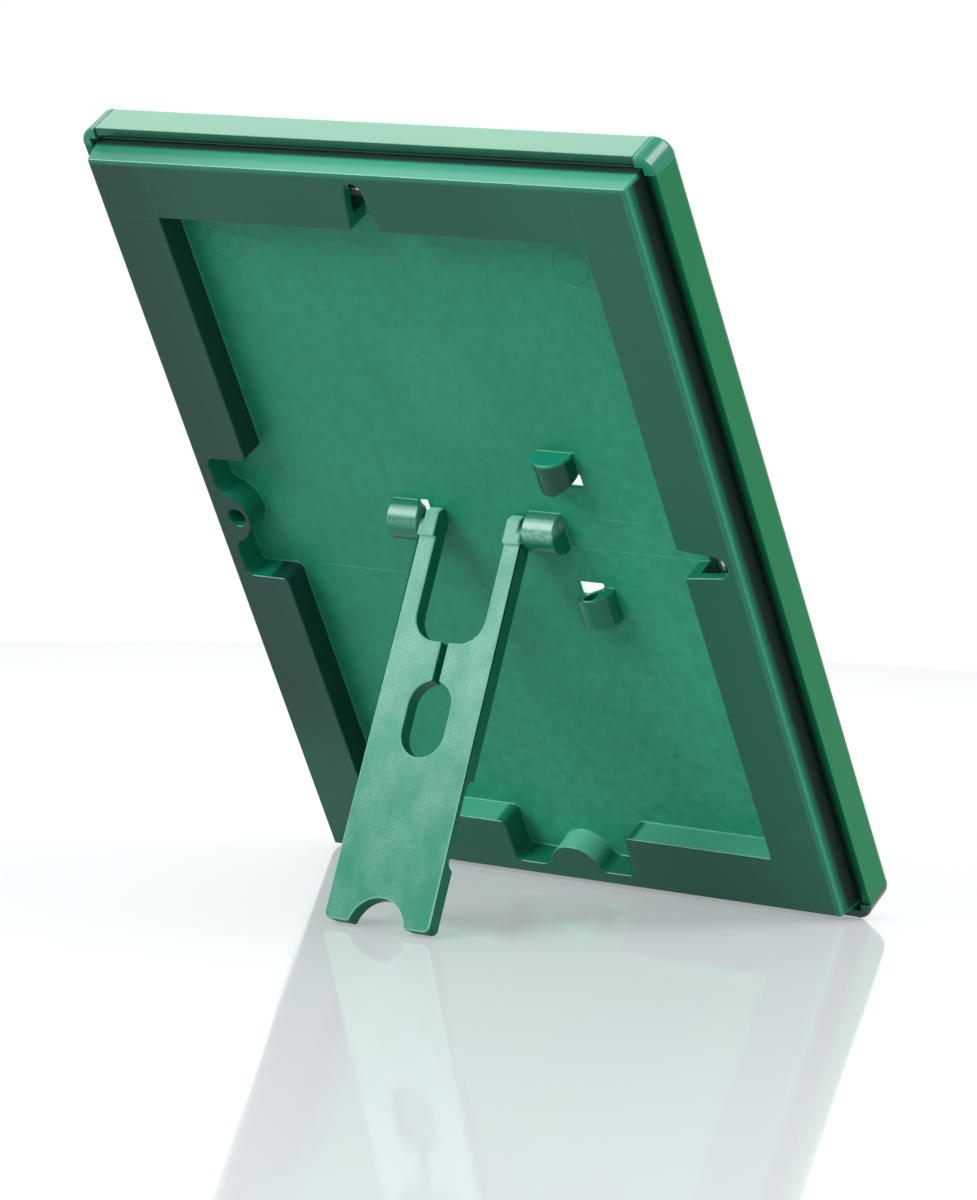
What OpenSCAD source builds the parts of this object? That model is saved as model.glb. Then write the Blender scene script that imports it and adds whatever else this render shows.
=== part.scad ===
// Free-standing snap frame for one small sheet, standing on its lower edge and a clip-on strut.
// Every piece is drawn lying flat: x across, y up the frame, z to the rear, rear face at z = 0.
// stand() then leans the whole frame back on its strut. Left and right are seen from the front.

/* [Sheet] */
// Width of the displayed sheet
sheet_w = 105; // [90:1:210]
// Height of the displayed sheet
sheet_h = 148; // [140:1:297]
// Thickness of the displayed sheet
sheet_t = 0.3; // [0.1:0.1:0.5]
// Thickness of the clear cover sheet
cover_t = 0.6; // [0.4:0.1:1]
// Distance from the frame's outer face to the sheet's edge
sheet_margin = 9; // [8.6:0.1:10]
// Gap round the sheet in its pocket
sheet_gap = 0.25; // [0.1:0.05:0.5]

/* [Metal profiles] */
// Width of a profile's face, from its outer side to its lip
face_w = 14; // [13.5:0.1:16]
// Depth of a profile, from its rear edge to its crown
profile_d = 7.8; // [7.4:0.1:9]
// Wall of a profile
profile_t = 1.2; // [1:0.1:1.4]
// Radius of the outer front edge
edge_r = 1.6; // [1.5:0.1:2.4]
// Radius of the slightly crowned face
crown_r = 30; // [28:1:60]
// Width of the lip that returns behind the tray's ledge
return_w = 2; // [1.8:0.1:2.2]
// Distance from the outer face to the inner spring rib
rib_in = 4.6; // [4:0.1:5]
// Thickness of the inner spring rib
spring_rib_t = 1; // [0.8:0.1:1.2]
// Height of the inner spring rib over the face's back
spring_rib_h = 2; // [1.6:0.1:2.4]
// Width of the flat on a lip's back that presses on the cover sheet
lip_flat_w = 2; // [1.6:0.1:2.4]
// How far behind the tray's rear face the profile's rear edge stays
profile_set = 4.7; // [4.2:0.1:5]
// Gap between a profile and its neighbours at the mitres
mitre_gap = 0.1; // [0.05:0.05:0.3]

/* [Corner caps] */
// Length of a cap along each side, which is also its corner radius
cap_l = 3.6; // [3:0.1:4.5]
// Radius of a cap's rear edge
cap_edge_r = 0.6; // [0.3:0.1:1]
// Radius of a cap's front edge
cap_front_r = 1.8; // [1:0.1:2.4]
// How far a cap stands behind the profiles' rear edges
cap_rear_proud = 0.4; // [0.1:0.1:0.6]
// How far a cap stands in front of the profiles' crowns
cap_front_proud = 0.2; // [0.1:0.1:0.6]
// Thickness of a cap's skirt beside the tray's corner
cap_skirt_t = 2.1; // [1.6:0.1:2.3]
// Length of a cap's foot plate along each side
cap_foot_l = 7.5; // [7:0.1:7.5]
// Thickness of a cap's foot plate
cap_foot_t = 0.9; // [0.6:0.1:1.1]
// Diameter of a cap's peg
peg_d = 2.6; // [2:0.1:3]
// Length of a cap's peg
peg_l = 4; // [3:0.1:4.8]
// Distance of the peg from both outer faces
peg_in = 6.2; // [6:0.1:6.6]

/* [Back tray] */
// Distance from the outer face to the edge of the tray's rear face
base_inset = 3.8; // [3.6:0.1:4.4]
// Width of the tray's rails
rail_w = 11.9; // [11:0.1:13]
// Depth of the recess between the rails
recess_d = 5.55; // [5.2:0.05:6]
// Thickness of the panel between the rails
panel_t = 2; // [1.6:0.1:2.4]
// Thickness of a rail's rear skin
skin_t = 2; // [1.6:0.1:2.2]
// Thickness of a rail's outer wall
outer_wall_t = 1.6; // [1.2:0.1:2]
// Thickness of a rail's inner wall
inner_wall_t = 2.6; // [2:0.1:3]
// Draft angle of the tray's outer sides
side_draft = 10; // [6:1:11]
// Size of the solid block in each corner of the rails
corner_block = 9.2; // [8.5:0.1:10]
// Thickness of the cross ribs in the rails
cross_rib_t = 1.6; // [1.2:0.1:2]
// Distance of the end ribs from the frame's corner
end_rib_in = 17; // [15:0.5:18]

/* [Foot recesses and wall fixings] */
// Width of the recess that takes the strut's foot
foot_recess_w = 27; // [26:0.5:30]
// Thickness of the wall outside that recess
recess_wall_t = 2.6; // [2.2:0.1:3]
// Radius of the corners outside that recess
recess_corner_r = 1.5; // [0.5:0.1:2]
// Radius of the rail ends beside that recess
mouth_r = 1.2; // [0.5:0.1:2]
// Radius of the boss in the middle of that recess
boss_r = 5.8; // [5.4:0.1:6]
// Distance from the outer face to the boss's centre
boss_in = 5.7; // [5.4:0.1:6]
// Radius of the fillets at the boss's root
boss_fillet_r = 2.5; // [1.5:0.1:2.5]
// Diameter of the screw hole in the side boss
screw_hole_d = 3.8; // [3.2:0.1:4.2]
// Distance from the outer face to the screw hole
screw_hole_in = 8.7; // [8.5:0.1:9]
// Width of the hanging slot in the top rail
top_slot_w = 3.7; // [3:0.1:4.5]
// Width of the hanging slot in the side rail
side_slot_w = 4.6; // [3:0.1:5]
// Width of both slots at their mouths
slot_mouth_w = 6.2; // [5.5:0.1:7]
// Distance from the outer face to the closed end of both slots
slot_end_in = 6; // [5.8:0.1:6.6]

/* [Strut lugs] */
// Width of a lug
lug_w = 7.9; // [7.4:0.1:8.4]
// Height of a lug over the panel
lug_h = 4.75; // [4.7:0.05:5.2]
// Length of a lug
lug_l = 6.8; // [6:0.1:8]
// Depth of the blind socket in a lug
socket_l = 3.5; // [3.3:0.1:4.5]
// Radial running clearance of the strut's pins
pin_gap = 0.05; // [0.02:0.01:0.1]
// Depth of the lead-in cuts at the inner ends of the lugs beside the upright strut
upright_cut_l = 1.4; // [1:0.1:2.3]
// How far short of the lug's middle those cuts stay
upright_cut_short = 2.3; // [1.5:0.1:3]
// Depth of the lead-in cuts at the inner ends of the other two lugs
side_cut_l = 2.3; // [1:0.1:3]
// How far past the lug's middle these cuts reach
side_cut_reach = 1.7; // [0.5:0.1:1.9]
// Tilt of the lead-in cuts
lead_in_tilt = 24; // [10:1:30]
// How far the window under a cut reaches past the lug's middle
window_reach = 1.4; // [0.5:0.1:1.8]
// How far that window reaches out from the lug's inner end
window_out = 0.7; // [0.3:0.1:0.8]
// Thickness of the panel's web round a window
window_web_t = 0.8; // [0.6:0.1:1.2]
// Width of the relief round a window in the panel's front
window_relief = 1.5; // [1:0.1:2]
// Gap between a strut head and a lug
head_gap = 0.4; // [0.3:0.1:0.8]

/* [Strut] */
// Length of the strut from its hinge axis to its end
strut_l = 74.8; // [70:0.1:80]
// Width of the strut at the hinge
strut_w = 22.4; // [21:0.1:24]
// Width of the strut at its foot
foot_w = 23.1; // [22:0.1:25]
// Height of the hinge axis over the panel
hinge_h = 2.65; // [2.6:0.05:2.8]
// Rear face of the strut behind the hinge axis
strut_rear = 1.1; // [0.9:0.1:1.3]
// Front face of the strut in front of the hinge axis
strut_front = 2.3; // [2.1:0.1:2.4]
// Angle between the opened strut and the panel
open_angle = 52.7; // [45:0.1:60]
// Gap between a strut head's stop face and the panel
stop_gap = 0.1; // [0.05:0.05:0.2]
// Diameter of the hinge pins
pin_d = 3; // [2.6:0.1:3.2]
// Length of the hinge pins beyond the heads
pin_l = 3.5; // [3:0.1:3.7]
// Width of a strut head and of the arm under it
arm_w = 3.6; // [3:0.1:4.2]
// Rear face of a strut head behind the hinge axis
head_rear = 2.1; // [1.6:0.1:2.2]
// Length of a head's rear face below the hinge axis
head_below = 2.2; // [2:0.1:3]
// Length of a head's rear face above the hinge axis
head_above = 2.4; // [2:0.1:2.6]
// Length of a head's stop face
stop_l = 2.75; // [2:0.05:3]
// Depth of the relief at the top outer side of a head
head_relief = 0.8; // [0.4:0.1:1.2]
// Depth of the fork between the arms, from the hinge axis
fork_l = 21.5; // [18:0.5:24]
// Corner radius of the fork
fork_r = 5; // [3:0.1:6]
// Width of the slit below the fork
slit_w = 1.6; // [1:0.1:2.4]
// Distance from the hinge axis to the top of the oval hole
oval_top = 28.9; // [27:0.1:31]
// Length of the oval hole
oval_l = 14.4; // [12:0.1:16]
// Width of the oval hole
oval_w = 9.3; // [8:0.1:11]
// Radius of the notch in the foot
notch_r = 6.2; // [6.2:0.1:7]
// Distance of the notch's centre beyond the foot's end
notch_out = 1.2; // [0.8:0.1:2]
// Radius of the foot's corners
toe_r = 1.2; // [0.5:0.1:1.6]
// Distance from the hinge axis to the thinner stretch
thin_start = 46; // [45:0.5:52]
// Length of the thinner stretch
thin_l = 16.5; // [8:0.5:17]
// Thickness of the thinner stretch
thin_t = 1.6; // [1.2:0.1:2.4]
// Gap between the folded foot and the end of the bottom recess
foot_gap = 2.3; // [2:0.1:4]
// Gap between the folded foot and the end of the side recess
side_foot_gap = 1.75; // [1.5:0.05:4]

/* [Wire springs] */
// Diameter of the spring wire
wire_d = 1.2; // [0.8:0.1:1.3]
// Length of a spring along its rail
spring_l = 28; // [24:0.5:30]
// Length of a spring's toes along the profile's inner rib
toe_l = 3.5; // [2:0.1:4]
// Distance from the outer face to a spring's middle stretch
spring_in = 8.3; // [8:0.1:8.4]
// Gap between a spring and what it bears on
spring_gap = 0.15; // [0.1:0.05:0.2]
// Spacing of the two ribs that hold a spring
holder_spacing = 16; // [14:0.5:17]

/* [Hidden] */
$fn = 64;

// Small overlap that joins solids and lets cuts run through
eps = 0.1;
// How much thinner a spring's arms are drawn than the stretches that they run into
arm_slim = 0.04;
// Overlap that roots ribs, blocks and lugs in their walls
root = 0.3;
// How far two arcs lap where one runs into the other, so that they cross cleanly
arc_lap = 0.02;
plastic = [0.13, 0.45, 0.33];
plastic_light = [0.35, 0.66, 0.54];
coated = [0.30, 0.62, 0.46];

// Sides are numbered clockwise from behind: 0 top, 1 left, 2 bottom, 3 right
TOP = 0;
LEFT = 1;
BOTTOM = 2;
RIGHT = 3;

frame_w = sheet_w + 2 * sheet_margin;
frame_h = sheet_h + 2 * sheet_margin;
function side_len(i) = i % 2 == 0 ? frame_w : frame_h;
function side_at(i) = i % 2 == 0 ? frame_h / 2 : frame_w / 2;

// Depths, all measured from the tray's rear face
hinge_clear = 0.05;
rear_z = -profile_set;
crown_z = rear_z - profile_d;
floor_z = -recess_d;
seat_z = floor_z - panel_t;
sheet_z = seat_z - sheet_t;
cover_z = sheet_z - cover_t;
ledge_z = rear_z - profile_t - hinge_clear;
ledge_in = profile_t + hinge_clear;
rail_in = base_inset + rail_w;
channel_in = base_inset + outer_wall_t;
channel_out = rail_in - inner_wall_t;

// Depth of the back of a profile's face, at a distance in from the outer side
function face_back_z(in) = crown_z + crown_r - sqrt(pow(crown_r - profile_t, 2) - pow(in - edge_r, 2));

// Axis on which a profile turns, at the centre of its return lip's round edge
turn_r = profile_t / 2;
turn_in = return_w - turn_r;
turn_z = rear_z - turn_r;

// Strut hinge axes: the upright one and the one for a frame laid on its long side
recess_end_in = base_inset + recess_wall_t;
hinge_y = strut_l + foot_gap - (frame_h / 2 - recess_end_in);
side_hinge_x = strut_l + side_foot_gap - (frame_w / 2 - recess_end_in);
hinge_z = floor_z + hinge_h;
lug_at = strut_w / 2 + head_gap;
stop_d = hinge_h - stop_gap;

// The frame rests on the rear edges of its lower caps and on the strut's foot
cap_rear_z = rear_z + cap_rear_proud;
cap_front_z = crown_z - cap_front_proud;
rest_y = -(frame_h / 2 - cap_edge_r);
rest_z = cap_rear_z - cap_edge_r;
foot_y = hinge_y - strut_l * cos(open_angle) - strut_front * sin(open_angle);
foot_z = hinge_z + strut_l * sin(open_angle) - strut_front * cos(open_angle);
rest_span = norm([foot_y - rest_y, foot_z - rest_z]);
lean = atan2(foot_y - rest_y, foot_z - rest_z) + asin(cap_edge_r / rest_span);
function stood_y(y, z) = y * sin(lean) + z * cos(lean);
function stood_z(y, z) = y * cos(lean) - z * sin(lean);
foot_rear_y = hinge_y - strut_l * cos(open_angle) + strut_rear * sin(open_angle);
foot_rear_z = hinge_z + strut_l * sin(open_angle) + strut_rear * cos(open_angle);
rear_end = max(
  stood_y(frame_h / 2 - base_inset, 0),
  stood_y(foot_rear_y, foot_rear_z)
);
front_end = stood_y(cap_front_r - frame_h / 2, cap_front_z + cap_front_r) - cap_front_r;
stand_y = -(rear_end + front_end) / 2;
stand_z = cap_edge_r - stood_z(rest_y, rest_z);

// Leans the flat frame back and stands it on z = 0, front towards -y
module stand() {
  translate([0, stand_y, stand_z]) rotate([90 + lean, 0, 180]) children();
}

// Moves a shape to one side of the frame: x runs along it, y points outwards from its outer face
module on_side(i) {
  rotate(-90 * i) translate([0, side_at(i), 0]) children();
}

// Moves a shape to the corner at the end of a side, with x and y pointing outwards
module at_corner(i) {
  rotate(-90 * i) translate([side_len(i) / 2, side_at(i), 0]) children();
}

// Extrudes a section drawn in y and z along x
module along_x(length) {
  rotate([90, 0, 90]) linear_extrude(length, center = true) children();
}

// Block inset from the frame's outline, between two depths
module inset_block(inset, z_low, z_high) {
  translate([-frame_w / 2 + inset, -frame_h / 2 + inset, z_low])
    cube([frame_w - 2 * inset, frame_h - 2 * inset, z_high - z_low]);
}

// Trapezoid with half width a at the rear face and b at the seat
module drafted_section(a, b) {
  polygon([[-a, 0], [a, 0], [b, seat_z], [-b, seat_z]]);
}

// Outer body of the tray, with drafted sides all round
module drafted_body() {
  run_out = -seat_z * tan(side_draft);
  half_w = frame_w / 2 - base_inset;
  half_h = frame_h / 2 - base_inset;
  intersection() {
    along_x(frame_w) drafted_section(half_h, half_h + run_out);
    rotate([90, 0, 0]) linear_extrude(frame_h, center = true)
      drafted_section(half_w, half_w + run_out);
  }
}

// Cross rib in a rail, with a step that keeps the sheet in place
module sheet_rib() {
  translate([-cross_rib_t / 2, -channel_out - root, seat_z])
    cube([cross_rib_t, channel_out - channel_in + 2 * root, -seat_z - skin_t + root]);
  translate([-cross_rib_t / 2, -sheet_margin + sheet_gap, cover_z])
    cube([cross_rib_t, sheet_margin - sheet_gap - channel_in + root, seat_z - cover_z + eps]);
}

// Cross rib with a slot that holds a spring's wire
module holder_rib() {
  slot = wire_d + 2 * spring_gap;
  difference() {
    translate([-cross_rib_t / 2, -channel_out - root, seat_z])
      cube([cross_rib_t, channel_out - channel_in + 2 * root, -seat_z - skin_t + root]);
    translate([-cross_rib_t, -spring_in - slot / 2, seat_z - eps])
      cube([2 * cross_rib_t, slot, -seat_z - skin_t + eps]);
  }
}

// One spring in the middle of a rail, or a pair midway between a foot recess and the solid corners
function pair_at(i) = (foot_recess_w / 2 + skin_t + side_len(i) / 2 - corner_block) / 2;
function spring_places(i) = i == TOP || i == LEFT ? [0] : [-pair_at(i), pair_at(i)];

module rail_ribs(i) {
  end_rib_x = side_len(i) / 2 - end_rib_in;
  between = i == TOP || i == LEFT ? [-end_rib_x / 2, end_rib_x / 2] : [];
  on_side(i) {
    for (x = spring_places(i), s = [-1, 1])
      translate([x + s * holder_spacing / 2, 0, 0]) holder_rib();
    if (i != BOTTOM)
      for (x = concat([-end_rib_x, end_rib_x], between))
        translate([x, 0, 0]) sheet_rib();
  }
}

// Solid corner of the rails, with the socket for a cap's peg
module corner_fill(i) {
  at_corner(i)
    translate([-corner_block, -corner_block, seat_z])
      cube([corner_block - channel_in + root, corner_block - channel_in + root, -seat_z - skin_t + root]);
}

// What the corner caps need: the ledge's corner cut away and a bore for the peg
module corner_cuts(i) {
  notch = cap_l + mitre_gap;
  at_corner(i) {
    difference() {
      translate([-notch, -notch, seat_z - eps]) cube([notch + eps, notch + eps, -seat_z]);
      translate([-frame_w, -frame_h, ledge_z]) cube([frame_w - cap_skirt_t, frame_h - cap_skirt_t, frame_w]);
    }
    translate([-peg_in, -peg_in, seat_z - eps]) cylinder(d = peg_d + 2 * pin_gap, h = peg_l + pin_gap + eps);
  }
}

// Plan of the boss with its root fillets, y = 0 at the outer face
module boss_plan() {
  root_y = -recess_end_in;
  fillet_y = root_y - boss_fillet_r + arc_lap;
  fillet_x = sqrt(pow(boss_r + boss_fillet_r - arc_lap, 2) - pow(fillet_y + boss_in, 2));
  translate([0, -boss_in]) circle(boss_r);
  difference() {
    polygon([
      [-fillet_x, root_y + root], [-fillet_x, fillet_y], [0, -boss_in],
      [fillet_x, fillet_y], [fillet_x, root_y + root]
    ]);
    for (s = [-1, 1]) translate([s * fillet_x, fillet_y]) circle(boss_fillet_r);
  }
}

// Plan of a foot recess, open towards the middle of the frame
module foot_recess_plan() {
  half = foot_recess_w / 2;
  straight = half - recess_corner_r;
  depth = rail_in - recess_end_in;
  difference() {
    union() {
      translate([-half, -rail_in - eps]) square([2 * half, depth - recess_corner_r + eps]);
      translate([-straight, -rail_in]) square([2 * straight, depth]);
      for (s = [-1, 1]) translate([s * straight, -recess_end_in - recess_corner_r]) circle(recess_corner_r);
      for (s = [-1, 1]) mirror([s < 0 ? 1 : 0, 0]) translate([half, -rail_in - eps]) difference() {
        translate([-eps, 0]) square([mouth_r + eps, mouth_r + eps]);
        translate([mouth_r, mouth_r + eps]) circle(mouth_r);
      }
    }
    boss_plan();
  }
}

module foot_recess_walls(i) {
  width = foot_recess_w + 2 * skin_t;
  on_side(i) translate([-width / 2, -channel_out - root, seat_z])
    cube([width, channel_out - channel_in + 2 * root, -seat_z - skin_t + root]);
}

// Hanging slot from the recess into a hollow rail
module slot_cut(i, width) {
  end_y = -slot_end_in - width / 2;
  on_side(i) translate([0, 0, floor_z]) linear_extrude(recess_d + eps) {
    translate([0, end_y]) circle(d = width);
    polygon([
      [-width / 2, end_y], [width / 2, end_y],
      [slot_mouth_w / 2, -rail_in - eps], [-slot_mouth_w / 2, -rail_in - eps]
    ]);
  }
}

// Lug from its inner end at x = 0 outwards, standing on the panel at z = 0.
// cut_y is where its lead-in cut meets the inner end, cut_l how deep that cut runs along the flank.
module lug(cut_y, cut_l) {
  difference() {
    intersection() {
      translate([0, 0, lug_h - lug_w / 2]) rotate([0, 90, 0]) cylinder(d = lug_w, h = lug_l);
      translate([0, -lug_w, -root]) cube([lug_l, 2 * lug_w, 2 * lug_h]);
    }
    translate([-eps, 0, hinge_h]) rotate([0, 90, 0]) cylinder(d = pin_d + 2 * pin_gap, h = socket_l + eps);
    rotate([lead_in_tilt, 0, 0]) translate([0, 0, -lug_h]) linear_extrude(3 * lug_h)
      polygon([[-eps, cut_y], [-eps, -lug_w], [cut_l, -lug_w], [cut_l, -lug_w / 2]]);
  }
}

// Window through the panel under a lug's lead-in cut, in a wider relief of the panel's front
module lug_window(cut_l) {
  length = window_out + cut_l;
  width = lug_w / 2 + window_reach;
  translate([-window_out, -lug_w / 2, -panel_t - eps]) {
    cube([length, width, panel_t + 2 * eps]);
    translate([-window_relief, -window_relief, 0])
      cube([length + 2 * window_relief, width + 2 * window_relief, eps + panel_t - window_web_t]);
  }
}

// Two lugs facing each other across the strut, one the half turn of the other
module lug_pair_places() {
  for (a = [0, 180]) rotate(a) translate([lug_at, 0, 0]) children();
}

module upright_lug_places() {
  translate([0, hinge_y, floor_z]) lug_pair_places() children();
}

module side_lug_places() {
  translate([side_hinge_x, 0, floor_z]) rotate(90) lug_pair_places() children();
}

module back_tray() {
  stand() color(plastic) difference() {
    union() {
      difference() {
        union() {
          drafted_body();
          inset_block(ledge_in, seat_z, ledge_z);
        }
        difference() {
          inset_block(channel_in, seat_z - eps, -skin_t);
          inset_block(channel_out, seat_z - 2 * eps, 0);
        }
        inset_block(rail_in, floor_z, eps);
      }
      for (i = [TOP, LEFT, BOTTOM, RIGHT]) {
        rail_ribs(i);
        corner_fill(i);
      }
      foot_recess_walls(BOTTOM);
      foot_recess_walls(RIGHT);
      upright_lug_places() lug(-upright_cut_short, upright_cut_l);
      side_lug_places() lug(side_cut_reach, side_cut_l);
    }
    for (i = [BOTTOM, RIGHT])
      on_side(i) translate([0, 0, floor_z]) linear_extrude(recess_d + eps) foot_recess_plan();
    slot_cut(TOP, top_slot_w);
    slot_cut(LEFT, side_slot_w);
    on_side(RIGHT) translate([0, -screw_hole_in, seat_z - eps])
      cylinder(d = screw_hole_d, h = eps - seat_z + eps);
    upright_lug_places() lug_window(upright_cut_l);
    side_lug_places() lug_window(side_cut_l);
    for (i = [TOP, LEFT, BOTTOM, RIGHT]) corner_cuts(i);
  }
}

// Plan of the strut, hinge axis on y = 0 and foot towards -y
module strut_plan() {
  half = strut_w / 2;
  half_foot = foot_w / 2;
  fork_half = half - arm_w;
  fork_flat = fork_half - fork_r;
  oval_r = oval_w / 2;
  difference() {
    polygon([[-half, 0], [half, 0], [half_foot, -strut_l], [-half_foot, -strut_l]]);
    translate([-fork_half, fork_r - fork_l]) square([2 * fork_half, fork_l]);
    translate([-fork_flat, -fork_l]) square([2 * fork_flat, fork_l]);
    for (s = [-1, 1]) translate([s * fork_flat, fork_r - fork_l]) circle(fork_r);
    translate([-slit_w / 2, -oval_top - oval_r]) square([slit_w, oval_top + oval_r]);
    for (y = [oval_top + oval_r, oval_top + oval_l - oval_r]) translate([0, -y]) circle(oval_r);
    translate([-oval_r, -oval_top - oval_l + oval_r]) square([oval_w, oval_l - oval_w]);
    translate([0, -strut_l - notch_out]) circle(notch_r);
    for (s = [-1, 1]) mirror([s < 0 ? 1 : 0, 0]) translate([half_foot - toe_r, -strut_l]) difference() {
      translate([0, -eps]) square([toe_r + eps, toe_r + eps]);
      translate([0, toe_r]) circle(toe_r);
    }
  }
}

// Side view of a head: flat rear face, stop face and a round front that rolls over the panel
module head_section() {
  stop_foot = stop_d * [sin(open_angle), -cos(open_angle)];
  stop_tip = stop_foot + stop_l * [cos(open_angle), sin(open_angle)];
  intersection() {
    circle(stop_d - arc_lap);
    translate([-stop_d, -strut_front]) square([2 * stop_d, strut_front + head_rear]);
  }
  polygon([[-head_below, 0], [-head_below, head_rear], [head_above, head_rear], stop_tip, stop_foot, [0, 0]]);
}

// One head with its hinge pin, on the side towards +x
module strut_head() {
  half = strut_w / 2;
  difference() {
    translate([half - arm_w / 2, 0, 0]) along_x(arm_w) head_section();
    translate([half - head_relief, 0, -strut_front]) cube([arm_w, strut_l, 2 * strut_l]);
  }
  translate([half - arm_w / 2, 0, 0]) rotate([0, 90, 0]) cylinder(d = pin_d, h = arm_w / 2 + pin_l);
}

// Material taken from the front of the strut's thinner stretch, with round ends
module thinning() {
  cut_top = strut_rear - thin_t;
  end_r = cut_top + strut_front;
  along_x(2 * foot_w) {
    translate([-thin_start - thin_l + end_r, -strut_front - eps]) square([thin_l - 2 * end_r, end_r + eps]);
    for (y = [thin_start + end_r, thin_start + thin_l - end_r])
      translate([-y, -strut_front]) circle(end_r);
  }
}

module strut() {
  stand() translate([0, hinge_y, hinge_z]) rotate([-open_angle, 0, 0]) color(plastic_light) difference() {
    union() {
      translate([0, 0, -strut_front]) linear_extrude(strut_front + strut_rear) strut_plan();
      strut_head();
      mirror([1, 0, 0]) strut_head();
    }
    thinning();
  }
}

module sheet(z, thickness) {
  translate([-sheet_w / 2, -sheet_h / 2, z]) cube([sheet_w, sheet_h, thickness]);
}

module insert_sheet() {
  stand() color("white") sheet(sheet_z, sheet_t);
}

module cover_sheet() {
  stand() color([0.85, 0.92, 0.95, 0.4]) sheet(cover_z, cover_t);
}

// Outer or inner line of a profile: inset 0 or the wall, drawn with y = 0 at the outer face
module profile_line(inset, reach) {
  r = edge_r - inset;
  intersection() {
    translate([-edge_r, crown_z + crown_r]) circle(crown_r - inset, $fn = 128);
    translate([-reach, crown_z + inset]) square([reach - edge_r, profile_d + reach]);
  }
  translate([-edge_r, crown_z + edge_r]) circle(r);
  translate([-edge_r, crown_z + edge_r]) square([r, profile_d + inset]);
}

// Section of a metal profile: face, side, return lip with its round edge, inner spring rib
module profile_section() {
  flat_z = cover_z - hinge_clear;
  difference() {
    intersection() {
      profile_line(0, face_w);
      translate([-face_w, crown_z]) square([face_w, profile_d]);
    }
    profile_line(profile_t, 2 * face_w);
    translate([-face_w - eps, flat_z]) square([lip_flat_w + eps, profile_d]);
  }
  translate([-turn_in, turn_z]) circle(turn_r);
  translate([-turn_in, turn_z - turn_r]) square([turn_in - profile_t + root, profile_t]);
  translate([-rib_in - spring_rib_t, face_back_z(rib_in) - root]) square([spring_rib_t, spring_rib_h + root]);
}

// Plan of a profile: straight past the caps, then mitred down to the lip
module profile_plan(length) {
  reach = face_w + eps;
  outer = length / 2 - mitre_gap - cap_l;
  inner = length / 2 - mitre_gap - reach;
  polygon([
    [-outer, eps], [outer, eps], [outer, -cap_l], [inner, -reach], [-inner, -reach], [-outer, -cap_l]
  ]);
}

module profile(i) {
  stand() on_side(i) color(coated) intersection() {
    along_x(side_len(i)) profile_section();
    translate([0, 0, 2 * crown_z]) linear_extrude(-2 * crown_z) profile_plan(side_len(i));
  }
}

module profile_top() { profile(TOP); }
module profile_left() { profile(LEFT); }
module profile_bottom() { profile(BOTTOM); }
module profile_right() { profile(RIGHT); }

// Round cap: a quarter of a short round bar with eased ends, hollowed round the tray's corner
module cap_body() {
  length = cap_rear_z - cap_front_z;
  intersection() {
    translate([-cap_l, -cap_l, cap_front_z]) rotate_extrude() {
      square([cap_l - cap_front_r, length]);
      translate([0, cap_front_r]) {
        square([cap_l - cap_edge_r, length - cap_front_r]);
        square([cap_l, length - cap_front_r - cap_edge_r]);
      }
      translate([cap_l - cap_front_r, cap_front_r]) circle(cap_front_r);
      translate([cap_l - cap_edge_r, length - cap_edge_r]) circle(cap_edge_r);
    }
    translate([-cap_l, -cap_l, 2 * cap_front_z]) cube([2 * cap_l, 2 * cap_l, -2 * cap_front_z]);
  }
}

module corner_cap(i) {
  foot_in = ledge_in + mitre_gap;
  stand() at_corner(i) color(plastic) {
    difference() {
      cap_body();
      translate([-2 * cap_l, -2 * cap_l, ledge_z])
        cube([2 * cap_l - cap_skirt_t, 2 * cap_l - cap_skirt_t, profile_d]);
    }
    translate([-foot_in - cap_foot_l, -foot_in - cap_foot_l, seat_z - cap_foot_t])
      cube([cap_foot_l, cap_foot_l, cap_foot_t]);
    translate([-peg_in, -peg_in, seat_z - cap_foot_t]) cylinder(d = peg_d, h = cap_foot_t + peg_l);
  }
}

module corner_cap_top_left() { corner_cap(TOP); }
module corner_cap_bottom_left() { corner_cap(LEFT); }
module corner_cap_bottom_right() { corner_cap(BOTTOM); }
module corner_cap_top_right() { corner_cap(RIGHT); }

// Round rod between two points
module rod(a, b, d) {
  v = b - a;
  translate(a) rotate([0, acos(v[2] / norm(v)), atan2(v[1], v[0])]) cylinder(d = d, h = norm(v));
}

// Round rod along x that runs half a wire past both of its ends
module wire_along(x_low, x_high, y, z) {
  rod([x_low - wire_d / 2, y, z], [x_high + wire_d / 2, y, z], wire_d);
}

// Spring: a middle stretch held in the rail, two arms forward and toes along the profile's rib
module wire_spring(x) {
  middle_z = -skin_t - spring_gap - wire_d / 2;
  toe_y = -rib_in - spring_rib_t - spring_gap - wire_d / 2;
  toe_z = face_back_z(rib_in) + spring_rib_h - wire_d / 2;
  half = spring_l / 2;
  translate([x, 0, 0]) {
    wire_along(-half, half, -spring_in, middle_z);
    for (s = [-1, 1]) mirror([s < 0 ? 1 : 0, 0, 0]) {
      rod([half, -spring_in, middle_z], [half, toe_y, toe_z], wire_d - arm_slim);
      wire_along(half - toe_l, half, toe_y, toe_z);
    }
  }
}

module rail_springs(i) {
  stand() on_side(i) color("silver") for (x = spring_places(i)) wire_spring(x);
}

module spring_top() { rail_springs(TOP); }
module spring_left() { rail_springs(LEFT); }
module springs_bottom() { rail_springs(BOTTOM); }
module springs_right() { rail_springs(RIGHT); }

back_tray();
strut();
insert_sheet();
cover_sheet();
profile_top();
profile_left();
profile_bottom();
profile_right();
corner_cap_top_left();
corner_cap_bottom_left();
corner_cap_bottom_right();
corner_cap_top_right();
spring_top();
spring_left();
springs_bottom();
springs_right();
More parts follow.
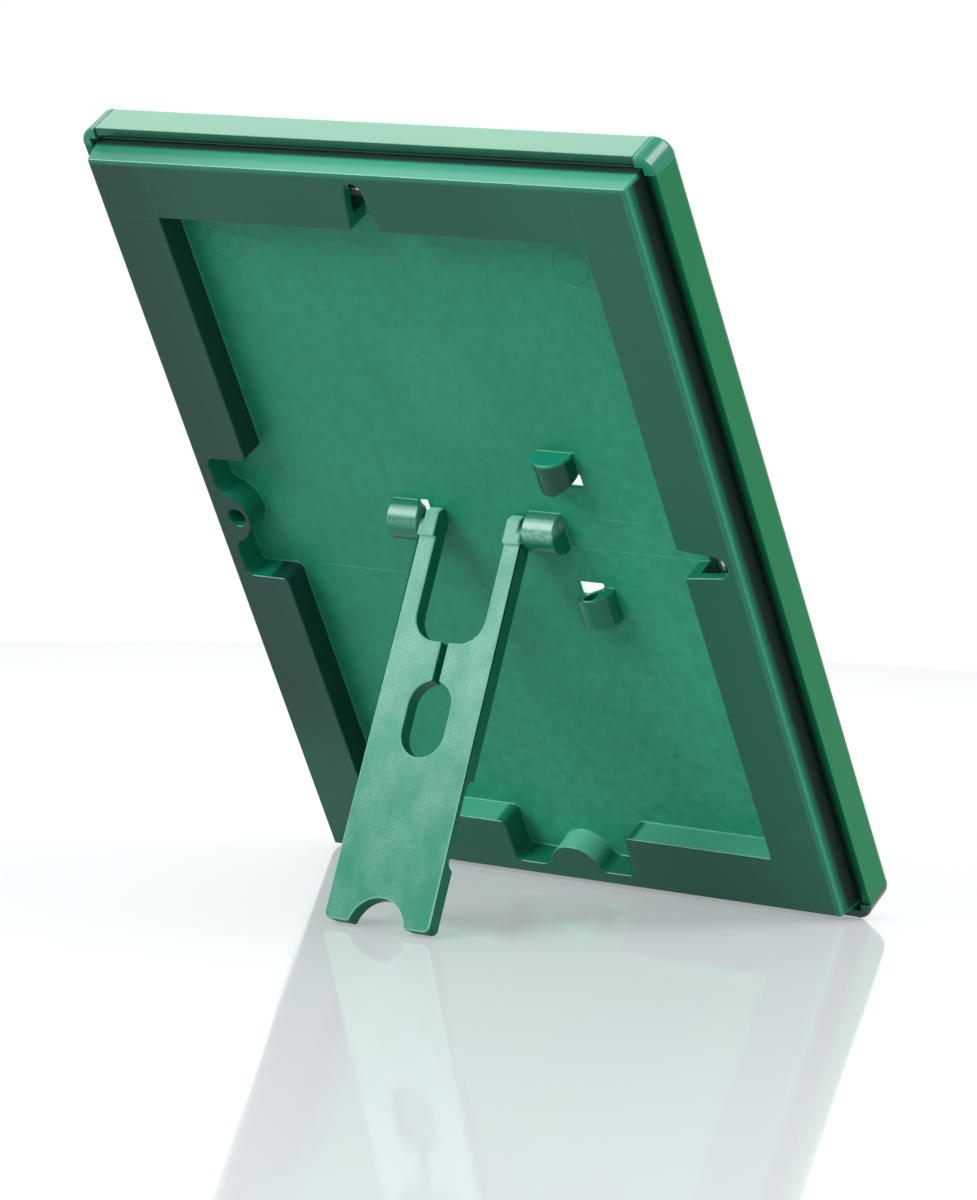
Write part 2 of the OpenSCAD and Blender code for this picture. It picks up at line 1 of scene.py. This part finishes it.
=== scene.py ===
"""Looks of a small free-standing snap frame, seen from behind on a glossy white table.

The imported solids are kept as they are. This script gives them moulded, coated and wire
finishes, and adds the table, the lights and the camera. Positions are in metres; a vector
called place is in millimetres on the flat frame: x across (u), y up (v), z to the rear (w).
"""

import math

import bmesh
import bpy
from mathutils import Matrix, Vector

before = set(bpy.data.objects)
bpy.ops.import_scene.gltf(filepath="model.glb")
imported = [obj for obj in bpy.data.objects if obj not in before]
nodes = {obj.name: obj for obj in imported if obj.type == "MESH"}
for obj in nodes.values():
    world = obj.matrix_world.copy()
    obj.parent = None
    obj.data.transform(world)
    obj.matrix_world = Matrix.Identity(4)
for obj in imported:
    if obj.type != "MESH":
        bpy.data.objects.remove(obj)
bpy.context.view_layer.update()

CAPS = ("corner_cap_top_left", "corner_cap_bottom_left",
        "corner_cap_bottom_right", "corner_cap_top_right")
PROFILES_ACROSS = ("profile_top", "profile_bottom")
PROFILES_UPRIGHT = ("profile_left", "profile_right")
SPRINGS = ("spring_top", "spring_left", "springs_bottom", "springs_right")

# The lean of the frame and the place of its middle, as the part's source has them
LEAN_DEG = 31.2291
STAND_Y_MM = 6.0788
STAND_Z_MM = 68.5199

# The strut's hinge on the flat frame in millimetres, and how far the strut stands open
HINGE_V = 0.5
HINGE_W = -2.9
OPEN_DEG = 52.7

# Where the strut's sheen sets in and where it is full, in millimetres from the hinge
SHEEN_START = 78.0
SHEEN_FULL = 12.0

# The flat frame in millimetres: its half sizes, and distances in from its outer edge
HALF_W = 61.5
HALF_H = 83.0
RAIL_IN = 15.7
RECESS_END_IN = 6.4
RAIL_EDGE_IN = 4.65
TRAY_SIDE_IN = 4.0
TRAY_SIDE_END_IN = 3.9
TRAY_TOP_IN = 4.05

# Levels along w where the tray's surfaces change, in millimetres
PANEL_LEVEL = -5.55
REAR_LEVEL = -0.15
SIDE_GROOVE_LEVEL = -2.15
TOP_GROOVE_LEVEL = -3.95
SIDE_EDGE_LEVEL = -1.0

# Where the tray's surfaces end, in millimetres from the middle of the frame
LUGS_END_U = 39.0
LUGS_END_V = 29.0
UPPER_LUG_FROM_V = 7.5
LUG_END_FACE_V = 17.9
LOW_WALLS_V = -63.0
LOW_WALLS_END_U = 45.5
SHADED_WALL_U = (-50.0, -44.4)
SHADED_WALL_END_V = 67.5
VALLEY_U = (5.4, 15.5)
BOSS_END_U = 4.8

# Marks of the mould on the panel: rings as u, v and strength, lines as v, first u and last u
RING_RADIUS = 3.65
RING_MARKS = ((37.5, 59.0, 1.0), (-37.5, 59.0, 1.0), (38.6, -58.7, 0.3))
LINE_MARKS = ((-13.2, -41.5, -21.3), (-3.0, 18.0, 44.0), (4.0, 25.7, 36.0))


def srgb(red, green, blue):
    """A colour given as 0 to 255 display values, as linear RGBA."""
    def linear(value):
        value /= 255
        return value / 12.92 if value <= 0.04045 else ((value + 0.055) / 1.055) ** 2.4
    return (linear(red), linear(green), linear(blue), 1.0)


class Tree:
    """A node tree with short calls for the nodes that the finishes share."""

    def __init__(self, tree):
        self.tree = tree
        tree.nodes.clear()

    def put(self, kind, inputs=None, **settings):
        node = self.tree.nodes.new(kind)
        for name, value in settings.items():
            setattr(node, name, value)
        for name, value in (inputs or {}).items():
            if isinstance(value, bpy.types.NodeSocket):
                self.tree.links.new(value, node.inputs[name])
            else:
                node.inputs[name].default_value = value
        return node

    def math(self, operation, *values):
        return self.put("ShaderNodeMath", dict(enumerate(values)), operation=operation).outputs[0]

    def vector_math(self, operation, first, second, output=0):
        node = self.put("ShaderNodeVectorMath", {0: first, 1: second}, operation=operation)
        return node.outputs[output]

    def split(self, vector):
        return self.put("ShaderNodeSeparateXYZ", {"Vector": vector}).outputs

    def stretch(self, vector, factors):
        return self.vector_math("MULTIPLY", vector, factors)

    def dot(self, vector, direction):
        return self.vector_math("DOT_PRODUCT", vector, direction, "Value")

    def distance(self, vector, point):
        return self.vector_math("DISTANCE", vector, point, "Value")

    def noise(self, vector, scale, detail=2.0, roughness=0.5):
        return self.put("ShaderNodeTexNoise", {
            "Vector": vector, "Scale": scale, "Detail": detail, "Roughness": roughness}).outputs[0]

    def mix(self, share, first, second):
        """Mixes two colours."""
        return self.put("ShaderNodeMix", {0: share, 6: first, 7: second}, data_type="RGBA").outputs[2]

    def blend(self, share, first, second):
        """Mixes two numbers."""
        return self.put("ShaderNodeMix", {0: share, 2: first, 3: second}, data_type="FLOAT").outputs[0]

    def paint(self, colour, *coats):
        """Lays coats over a colour, each given as its mask, its strength and its colour."""
        for mask, strength, coat in coats:
            colour = self.mix(self.math("MULTIPLY", mask, strength), colour, coat)
        return colour

    def step(self, value, start, end):
        """Rises smoothly from 0 at start to 1 at end."""
        return self.put("ShaderNodeMapRange", {"Value": value, "From Min": start, "From Max": end},
                        interpolation_type="SMOOTHSTEP").outputs[0]

    def above(self, value, level, soft):
        return self.step(value, level - soft, level + soft)

    def below(self, value, level, soft):
        return self.step(value, level + soft, level - soft)

    def within(self, value, low, high, soft=0.1):
        """1 between low and high, 0 outside, with soft edges."""
        return self.both(self.above(value, low, soft), self.below(value, high, soft))

    def line(self, value, level, half_width, soft=0.1):
        return self.within(value, level - half_width, level + half_width, soft)

    def ring(self, place, u, v):
        """A thin circle drawn round a point of the flat frame."""
        away = self.distance(self.stretch(place, (1, 1, 0)), (u, v, 0))
        return self.line(away, RING_RADIUS, half_width=0.12, soft=0.08)

    def both(self, *masks):
        result = masks[0]
        for mask in masks[1:]:
            result = self.math("MULTIPLY", result, mask)
        return result

    def either(self, *masks):
        result = masks[0]
        for mask in masks[1:]:
            result = self.math("MAXIMUM", result, mask)
        return result


def frame_place(t):
    """The shaded point on the flat frame, in millimetres, which stays put when a body moves."""
    lean = math.radians(LEAN_DEG)
    shift_v = -(math.sin(lean) * STAND_Y_MM + math.cos(lean) * STAND_Z_MM)
    shift_w = -(math.cos(lean) * STAND_Y_MM - math.sin(lean) * STAND_Z_MM)
    return t.put("ShaderNodeMapping", {
        "Vector": t.put("ShaderNodeTexCoord").outputs["Object"],
        "Location": (0, shift_v, shift_w),
        "Rotation": (math.radians(90) + lean, 0, math.radians(180)),
        "Scale": (1000, 1000, 1000),
    }).outputs["Vector"]


def facing(t, direction):
    """How far the surface faces a direction of the object, 1 when it faces it squarely."""
    return t.dot(t.put("ShaderNodeTexCoord").outputs["Normal"], direction)


def new_material(name):
    material = bpy.data.materials.new(name)
    material.use_nodes = True
    return material, Tree(material.node_tree)


def finish(t, values, height, depth_mm):
    """Principled surface with a fine relief of the given depth, in millimetres."""
    normal = t.put("ShaderNodeBump", {
        "Height": height, "Distance": depth_mm / 1000, "Strength": 1.0,
    }).outputs["Normal"]
    shader = t.put("ShaderNodeBsdfPrincipled", {**values, "Normal": normal})
    t.put("ShaderNodeOutputMaterial", {"Surface": shader.outputs[0]})


class TrayZones:
    """Masks from 0 to 1 that tell the tray's surfaces apart by their place on the flat frame."""

    def __init__(self, t, place):
        u, v, w = t.split(place)
        abs_u = t.math("ABSOLUTE", u)
        abs_v = t.math("ABSOLUTE", v)
        inside = t.both(t.below(abs_u, HALF_W - RECESS_END_IN, 0.1),
                        t.below(abs_v, HALF_H - RECESS_END_IN, 0.1))
        self.panel = t.both(inside, t.below(w, PANEL_LEVEL + 0.16, 0.14))
        self.rear = t.above(w, REAR_LEVEL, 0.1)

        self.lug = t.both(t.above(w, PANEL_LEVEL + 0.3, 0.2),
                          t.below(abs_u, LUGS_END_U, 1.0), t.below(abs_v, LUGS_END_V, 1.0))
        self.upper_lug = t.both(self.lug, t.above(v, UPPER_LUG_FROM_V, 0.5))
        self.lug_end = t.both(self.lug, t.above(abs_v, LUG_END_FACE_V, 0.2))

        self.low_walls = t.both(t.below(v, LOW_WALLS_V, 1.0), t.below(abs_u, LOW_WALLS_END_U, 0.5))
        self.valley = t.both(self.low_walls, t.within(abs_u, *VALLEY_U, soft=0.5))
        self.boss_top = t.both(self.low_walls, t.below(abs_u, BOSS_END_U, 0.4))
        self.shaded_wall = t.both(t.above(u, SHADED_WALL_U[0], 0.5), t.below(u, SHADED_WALL_U[1], 0.4),
                                  t.below(abs_v, SHADED_WALL_END_V, 0.5))

        self.top_side = t.above(v, HALF_H - TRAY_TOP_IN, 0.15)
        self.outer_side = t.both(t.above(abs_u, HALF_W - TRAY_SIDE_IN, 0.1),
                                 t.below(abs_v, HALF_H - TRAY_SIDE_END_IN, 0.1))
        self.side_edge = t.both(self.outer_side, t.above(w, SIDE_EDGE_LEVEL, 0.5))
        self.groove = t.either(t.both(self.outer_side, t.below(w, SIDE_GROOVE_LEVEL, 0.75)),
                               t.both(self.top_side, t.below(w, TOP_GROOVE_LEVEL, 0.45)))

        self.rail_edge = t.either(t.above(v, HALF_H - RAIL_EDGE_IN, 0.45),
                                  t.above(u, HALF_W - RAIL_EDGE_IN, 0.45))
        self.seams = t.both(self.rear, t.either(self.seam(t, abs_u, HALF_W, abs_v, HALF_H),
                                                self.seam(t, abs_v, HALF_H, abs_u, HALF_W)))

    @staticmethod
    def seam(t, across, half_across, along, half_along):
        """A fine line on the rail, in line with the panel's edge, from the panel's corner outwards."""
        return t.both(t.line(across, half_across - RAIL_IN, half_width=0.07, soft=0.05),
                      t.step(along, half_along - RAIL_IN, half_along - RAIL_IN + 0.3))


def panel_colour(t, place, cloud, mottle, rings, lines):
    """Mottled green, with painted light towards the low right, a smear above the hinge and the mould's
    marks.
    """
    u, v, _ = t.split(place)
    flat = t.stretch(place, (1, 1, 0))
    # Painted light: the panel grows lighter towards the low right.
    to_low_right = t.step(t.math("SUBTRACT", u, v), start=-30, end=110)
    smear = t.both(t.within(u, -8, 8, soft=3), t.within(v, 20, 40, soft=5),
                   t.noise(t.stretch(place, (0.4, 0.1, 1)), scale=1.0))
    blots = t.step(t.noise(flat, scale=0.45), start=0.4, end=0.68)
    return t.paint(t.mix(cloud, srgb(26, 132, 98), srgb(38, 150, 112)),
                   (to_low_right, 1.0, srgb(54, 170, 132)),
                   (mottle, 0.3, srgb(14, 108, 78)),
                   (smear, 0.3, srgb(60, 160, 126)),
                   (blots, 0.2, srgb(8, 104, 78)),
                   (rings, 0.5, srgb(8, 88, 64)),
                   (lines, 0.45, srgb(96, 190, 158)))


def rail_colour(t, place, cloud, on):
    """Dark green, darkest on one side by painted shade, with painted light towards the other side and the
    bottom, painted highlights along the edges, and faint seams at the corners.
    """
    u, v, _ = t.split(place)
    # Painted shade on one side, painted light towards the other side and the bottom, and a painted
    # highlight along the rails' outer edges.
    shade = t.step(u, start=-30, end=-56)
    light = t.either(t.step(u, start=20, end=48), t.step(v, start=-40, end=-66))
    return t.paint(t.mix(cloud, srgb(4, 78, 58), srgb(8, 88, 66)),
                   (shade, 1.0, srgb(2, 62, 50)),
                   (light, 0.6, srgb(20, 100, 76)),
                   (on.seams, 0.35, srgb(26, 118, 94)),
                   (on.rail_edge, 0.6, srgb(34, 138, 108)))


def wall_colour(t, place, cloud, on):
    """Each wall by its place: painted shade on one side, in the valley and in the groove, and painted light
    where it looks up, on the boss top and along the side's edge.
    """
    u = t.split(place)[0]
    # Painted light on the top side, lighter from one end; painted shade on the shaded wall, the valley and
    # the groove; painted light on the low walls, the boss top and the side's edge.
    top_light = t.mix(t.step(u, start=-54, end=-8), srgb(26, 126, 98), srgb(56, 156, 128))
    return t.paint(t.mix(cloud, srgb(12, 110, 84), srgb(18, 122, 94)),
                   (on.shaded_wall, 1.0, srgb(16, 64, 56)),
                   (on.low_walls, 1.0, srgb(72, 164, 138)),
                   (on.valley, 1.0, srgb(20, 108, 82)),
                   (on.boss_top, 1.0, srgb(92, 180, 152)),
                   (on.top_side, 1.0, top_light),
                   (on.side_edge, 1.0, srgb(58, 160, 128)),
                   (on.groove, 0.92, srgb(2, 16, 14)))


def lug_colour(t, place, speckle, on):
    """Glossy lugs, with painted shade on the uppermost one, painted light on their end faces, and a painted
    highlight along the top of the pair that holds the strut.
    """
    u, v, _ = t.split(place)
    # A speckled painted highlight along the top of the lug pair, weaker on one lug.
    painted_top_highlight = t.both(t.within(v, 1.6, 4.0, soft=0.8),
                  t.blend(t.step(u, start=-1, end=1), 0.35, 1.0),
                  t.blend(t.step(speckle, start=0.4, end=0.6), 0.5, 1.0))
    # Painted shade on the uppermost lug, painted light on the end faces.
    return t.paint(t.mix(on.upper_lug, srgb(14, 116, 88), srgb(8, 78, 58)),
                   (on.lug_end, 1.0, srgb(16, 138, 108)),
                   (painted_top_highlight, 0.55, srgb(164, 210, 198)))


def tray_plastic():
    """Moulded plastic: polished rails, a mottled panel, and walls, edges and lugs with painted light and
    shade in their colour.
    """
    material, t = new_material("tray_moulded_plastic")
    place = frame_place(t)
    on = TrayZones(t, place)
    u, v, _ = t.split(place)
    cloud = t.noise(place, scale=0.05, detail=3.0)
    grain = t.noise(place, scale=3.0)
    speckle = t.noise(place, scale=1.6, detail=3.0)
    mottle = t.put("ShaderNodeTexVoronoi", {"Vector": t.stretch(place, (1, 1, 0)), "Scale": 0.42},
                   feature="SMOOTH_F1").outputs["Distance"]
    rings = t.either(*[t.math("MULTIPLY", t.ring(place, *centre), strength)
                       for *centre, strength in RING_MARKS])
    lines = t.either(*[t.both(t.line(v, level, half_width=0.08), t.within(u, first, last))
                       for level, first, last in LINE_MARKS])

    # Painted highlight on the rounded edges that face this way.
    glint = t.step(facing(t, (0, 0.909, 0.417)), start=0.945, end=0.99)
    colour = t.mix(on.rear, wall_colour(t, place, cloud, on), rail_colour(t, place, cloud, on))
    colour = t.paint(colour,
                     (on.lug, 1.0, lug_colour(t, place, speckle, on)),
                     (glint, 0.35, srgb(176, 226, 210)),
                     (on.panel, 1.0, panel_colour(t, place, cloud, mottle, rings, lines)))

    roughness = t.blend(on.panel, 0.22, 0.46)
    roughness = t.blend(on.lug, roughness, t.blend(speckle, 0.16, 0.3))
    roughness = t.blend(t.either(on.groove, on.outer_side), roughness, 0.6)
    marks = t.both(t.either(rings, lines), on.panel)
    relief = t.both(on.panel, t.math("SUBTRACT", mottle, marks))
    height = t.math("MULTIPLY_ADD", grain, 0.35, relief)
    finish(t, {"Base Color": colour, "Roughness": roughness, "Specular IOR Level": 0.3},
           height, depth_mm=0.015)
    return material


def cap_plastic():
    """Glossy moulded plastic, with painted shade on the two caps that stand on the table."""
    material, t = new_material("cap_gloss_plastic")
    place = frame_place(t)
    cloud = t.noise(place, scale=0.3, detail=3.0)
    # Painted shade: the caps low by the table are darker.
    low = t.step(t.split(place)[1], start=-60, end=-68)
    finish(t, {
        "Base Color": t.mix(low, t.mix(cloud, srgb(2, 116, 88), srgb(8, 130, 100)), srgb(0, 84, 60)),
        "Roughness": t.blend(t.noise(place, scale=2.0), 0.22, 0.28),
        "Specular IOR Level": 0.48,
    }, t.noise(place, scale=4.0), depth_mm=0.008)
    return material


def strut_plastic():
    """Plastic that shines in soft patches and towards the hinge, with painted sheen there, painted
    highlights on its edges and painted shade on one side.
    """
    material, t = new_material("strut_matt_plastic")
    place = frame_place(t)
    open_angle = math.radians(OPEN_DEG)
    from_hinge = t.vector_math("SUBTRACT", place, (0, HINGE_V, HINGE_W))
    along = t.dot(from_hinge, (0, -math.cos(open_angle), math.sin(open_angle)))
    rise = math.radians(OPEN_DEG - LEAN_DEG)
    rear = facing(t, (0, math.cos(rise), math.sin(rise)))
    on_face = t.step(rear, start=0.9, end=0.98)
    on_edge = t.within(rear, 0.1, 0.93, soft=0.08)
    lit_side = t.step(facing(t, (1, 0, 0)), start=0.1, end=0.5)

    cloud = t.noise(place, scale=0.12, detail=3.0)
    grain = t.noise(place, scale=5.0, detail=3.0)
    own = t.put("ShaderNodeCombineXYZ", {"X": t.split(place)[0], "Y": along}).outputs[0]
    patches = t.noise(t.stretch(own, (0.16, 0.11, 1)), scale=1.0, detail=3.0, roughness=0.55)
    patch = t.step(patches, start=0.32, end=0.66)
    near_hinge = t.step(along, SHEEN_START, SHEEN_FULL)
    sheen = t.math("MULTIPLY_ADD", near_hinge, 0.62, t.math("MULTIPLY", patch, 0.42))
    grainy_sheen = t.both(sheen, t.step(grain, start=0.36, end=0.64))

    # Painted light: lighter towards the hinge, with a grainy painted sheen on the face; painted shade on
    # the side that turns from the light.
    plain = t.mix(cloud, srgb(28, 122, 94), srgb(38, 134, 104))
    plain = t.mix(near_hinge, plain, srgb(66, 152, 124))
    side = t.mix(lit_side, t.mix(cloud, srgb(8, 98, 70), srgb(14, 110, 80)), plain)
    face = t.paint(plain, (grainy_sheen, 0.42, srgb(156, 196, 186)))
    # Painted highlights on the rounded edges.
    finish(t, {
        "Base Color": t.paint(side, (on_face, 1.0, face), (on_edge, 0.8, srgb(140, 216, 188))),
        "Roughness": t.blend(sheen, 0.7, 0.36),
        "Specular IOR Level": 0.32,
    }, grain, depth_mm=0.03)
    return material


def coated_aluminium(name, line_scale, metallic, coat, colour, lip_colour):
    """Coated metal with faint drawn lines and painted shade on its rear lip; line_scale is small along the
    profile and large across it.
    """
    material, t = new_material("coated_aluminium_" + name)
    place = frame_place(t)
    lines = t.noise(t.stretch(place, line_scale), scale=1.0, detail=3.0)
    cloud = t.noise(place, scale=0.04)
    lean = math.radians(LEAN_DEG)
    rearward = facing(t, (0, math.cos(lean), -math.sin(lean)))
    # Painted shade on the lip that faces the rear.
    lip = t.step(rearward, start=0.5, end=0.9)
    front = t.step(rearward, start=-0.1, end=-0.4)
    outside = t.mix(cloud, colour, t.mix(0.012, colour, srgb(255, 255, 255)))
    outside = t.mix(front, outside, t.mix(cloud, srgb(12, 110, 80), srgb(18, 118, 86)))
    finish(t, {
        "Base Color": t.mix(lip, outside, lip_colour),
        "Metallic": t.blend(front, metallic, 0.7),
        "Roughness": t.blend(lines, 0.26, 0.36),
        "Coat Weight": coat,
        "Coat Roughness": 0.12,
    }, lines, depth_mm=0.004)
    return material


def spring_wire():
    """Bright drawn steel."""
    material, t = new_material("spring_steel_wire")
    drawn = t.noise(frame_place(t), scale=3.0, detail=3.0)
    finish(t, {
        "Base Color": t.mix(drawn, srgb(190, 192, 194), srgb(214, 216, 218)),
        "Metallic": 1.0,
        "Roughness": t.blend(drawn, 0.18, 0.32),
    }, drawn, depth_mm=0.004)
    return material


def sheet_paper():
    """White paper with a little light of its own, which ends where the hollow rails start."""
    material, t = new_material("blank_paper")
    place = frame_place(t)
    u, v, _ = t.split(place)
    fibre = t.noise(place, scale=4.0, detail=4.0, roughness=0.6)
    white = t.mix(fibre, srgb(240, 241, 240), srgb(250, 251, 250))
    lit = t.both(t.step(t.math("ABSOLUTE", u), start=46, end=44),
                 t.step(t.math("ABSOLUTE", v), start=67, end=65))
    finish(t, {
        "Base Color": white,
        "Roughness": t.blend(fibre, 0.7, 0.85),
        "Emission Color": white,
        "Emission Strength": t.math("MULTIPLY", lit, 0.85),
    }, fibre, depth_mm=0.01)
    return material


def clear_sheet():
    """Clear plastic sheet with a faint haze."""
    material, t = new_material("clear_cover")
    haze = t.noise(frame_place(t), scale=1.5, detail=3.0)
    finish(t, {
        "Base Color": t.mix(haze, srgb(250, 252, 253), srgb(255, 255, 255)),
        "Roughness": t.blend(haze, 0.04, 0.09),
        "Transmission Weight": 1.0,
        "IOR": 1.49,
    }, haze, depth_mm=0.003)
    return material


# Edges and gaps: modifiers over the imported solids
FLAT_DEG = 1
SHARP_DEG = 35
ROUND_SEGMENTS = 3
FLAT_FACES_WEIGHT = 100


def round_edges(width_mm, join_mm, *names):
    """Joins points closer than join_mm, merges flat faces, then rounds the sharp edges."""
    for name in names:
        modifiers = nodes[name].modifiers
        weld = modifiers.new("weld", "WELD")
        weld.merge_threshold = join_mm / 1000
        merge = modifiers.new("merge_flat_faces", "DECIMATE")
        merge.decimate_type = "DISSOLVE"
        merge.angle_limit = math.radians(FLAT_DEG)
        bevel = modifiers.new("round_edges", "BEVEL")
        bevel.limit_method = "ANGLE"
        bevel.angle_limit = math.radians(SHARP_DEG)
        bevel.width = width_mm / 1000
        bevel.segments = ROUND_SEGMENTS
        bevel.use_clamp_overlap = False
        even = modifiers.new("even_normals", "WEIGHTED_NORMAL")
        even.weight = FLAT_FACES_WEIGHT


def thin_down(step_mm, name):
    """Draws the faces of a piece inwards by step_mm, so that air is left where it lay on another."""
    shrink = nodes[name].modifiers.new("air_gap", "DISPLACE")
    shrink.mid_level = 0
    shrink.strength = -step_mm / 1000


def give(material, *names):
    for name in names:
        for slot in nodes[name].material_slots:
            slot.material = material


round_edges(0.3, 0.25, "back_tray")
round_edges(0.35, 0.25, "strut")
round_edges(0.15, 0.1, *CAPS, *PROFILES_ACROSS, *PROFILES_UPRIGHT)
thin_down(0.02, "cover_sheet")

give(tray_plastic(), "back_tray")
give(strut_plastic(), "strut")
give(cap_plastic(), *CAPS)
# The profiles across and upright are lit and shaded copies of one coating: painted light and shade sets
# their colours, metallic and coat apart; their fronts share one colour.
give(coated_aluminium("across", line_scale=(0.02, 6.0, 6.0), metallic=0.6, coat=0.3,
                      colour=srgb(38, 108, 80), lip_colour=srgb(6, 86, 64)), *PROFILES_ACROSS)
give(coated_aluminium("upright", line_scale=(6.0, 0.02, 6.0), metallic=0.92, coat=0.0,
                      colour=srgb(2, 122, 72), lip_colour=srgb(14, 98, 66)), *PROFILES_UPRIGHT)
give(spring_wire(), *SPRINGS)
give(sheet_paper(), "insert_sheet")
give(clear_sheet(), "cover_sheet")


# Table: a round glossy white top
TABLE_R = 0.375
TABLE_DEPTH = 0.03
TABLE_EDGE_R = 0.006
TABLE_EDGE_STEPS = 8
TABLE_SEGMENTS = 256


def seen_rays(t):
    """1 for rays that show a white surface to the camera, straight, mirrored or through glass."""
    rays = t.put("ShaderNodeLightPath").outputs
    return t.either(rays["Is Camera Ray"], rays["Is Glossy Ray"], rays["Is Transmission Ray"])


def table_material():
    """Pale diffuse top under a clear gloss, with a white glow that only seen rays meet."""
    material, t = new_material("white_table")
    position = t.put("ShaderNodeTexCoord").outputs["Object"]
    cloud = t.noise(position, scale=6.0)
    # Painted shade: the glow fades towards the rim, darkening the table's far edge.
    rim = t.step(t.distance(position, (0, 0, 0)), start=0.27, end=0.37)
    diffuse = t.put("ShaderNodeBsdfDiffuse", {
        "Color": t.mix(cloud, srgb(148, 151, 153), srgb(152, 155, 157))})
    glow = t.put("ShaderNodeEmission", {
        "Color": srgb(247, 251, 255),
        "Strength": t.both(seen_rays(t), t.blend(rim, 0.56, 0.38))})
    body = t.put("ShaderNodeAddShader", {0: diffuse.outputs[0], 1: glow.outputs[0]})
    gloss = t.put("ShaderNodeBsdfGlossy", {
        "Color": (1, 1, 1, 1), "Roughness": t.blend(cloud, 0.06, 0.08)})
    fresnel = t.put("ShaderNodeFresnel", {"IOR": 1.48})
    surface = t.put("ShaderNodeMixShader", {
        0: fresnel.outputs[0], 1: body.outputs[0], 2: gloss.outputs[0]})
    t.put("ShaderNodeOutputMaterial", {"Surface": surface.outputs[0]})
    return material


def table_outline():
    """Radius and height of the top's rounded edge and side, from the flat outwards and down."""
    outline = []
    for k in range(TABLE_EDGE_STEPS + 1):
        angle = math.radians(90) * k / TABLE_EDGE_STEPS
        outline.append((TABLE_R - TABLE_EDGE_R + TABLE_EDGE_R * math.sin(angle),
                        TABLE_EDGE_R * (math.cos(angle) - 1)))
    outline.append((TABLE_R, -TABLE_DEPTH))
    return outline


def make_table():
    mesh = bpy.data.meshes.new("table_top")
    bm = bmesh.new()
    rings = []
    for radius, height in table_outline():
        ring = []
        for k in range(TABLE_SEGMENTS):
            angle = 2 * math.pi * k / TABLE_SEGMENTS
            ring.append(bm.verts.new((radius * math.cos(angle), radius * math.sin(angle), height)))
        rings.append(ring)
    bm.faces.new(rings[0])
    for upper, lower in zip(rings, rings[1:]):
        for k in range(TABLE_SEGMENTS):
            n = (k + 1) % TABLE_SEGMENTS
            bm.faces.new((upper[k], lower[k], lower[n], upper[n])).smooth = True
    bm.to_mesh(mesh)
    bm.free()
    table = bpy.data.objects.new("table_top", mesh)
    bpy.context.scene.collection.objects.link(table)
    mesh.materials.append(table_material())


def make_world():
    """White where it is seen, softer where it lights."""
    world = bpy.data.worlds.new("white_studio")
    world.use_nodes = True
    t = Tree(world.node_tree)
    background = t.put("ShaderNodeBackground", {
        "Color": (1, 1, 1, 1), "Strength": t.blend(seen_rays(t), 0.68, 1.0)})
    t.put("ShaderNodeOutputWorld", {"Surface": background.outputs[0]})
    bpy.context.scene.world = world


def soft_light(name, place, target, size, watts):
    """A square lamp at place, turned to target, both in metres."""
    lamp = bpy.data.lights.new(name, "AREA")
    lamp.shape = "SQUARE"
    lamp.size = size
    lamp.energy = watts
    holder = bpy.data.objects.new(name, lamp)
    holder.location = place
    holder.rotation_mode = "QUATERNION"
    holder.rotation_quaternion = (Vector(target) - Vector(place)).to_track_quat("-Z", "Y")
    bpy.context.scene.collection.objects.link(holder)


make_table()
make_world()
soft_light("key_softbox", place=(0.55, 0.86, 0.66), target=(0, 0, 0.07), size=0.6, watts=10.0)
soft_light("front_softbox", place=(0.5, -1.0, 0.7), target=(0, 0, 0.07), size=0.9, watts=6.0)
soft_light("ceiling_softbox", place=(0.62, -0.31, 0.93), target=(0, 0, 0.1), size=0.6, watts=2.8)
soft_light("corner_softbox", place=(-0.6, -0.3, 0.95), target=(0, 0, 0.1), size=0.5, watts=6.5)


# Camera at the photograph's viewing angle, for an image of 977 by 1200
CAMERA_PLACE = (-0.52554, 0.77578, 0.17289)
CAMERA_TURN_DEG = (82.9728, -1.6755, -145.7184)
SENSOR_MM = 36
LENS_MM = 154.1

camera_data = bpy.data.cameras.new("camera")
camera_data.sensor_width = SENSOR_MM
camera_data.lens = LENS_MM
camera_data.clip_start = 0.05
camera_data.clip_end = 20
camera = bpy.data.objects.new("camera", camera_data)
camera.location = CAMERA_PLACE
camera.rotation_euler = [math.radians(angle) for angle in CAMERA_TURN_DEG]
bpy.context.scene.collection.objects.link(camera)
bpy.context.scene.camera = camera
bpy.context.scene.view_settings.view_transform = "Standard"
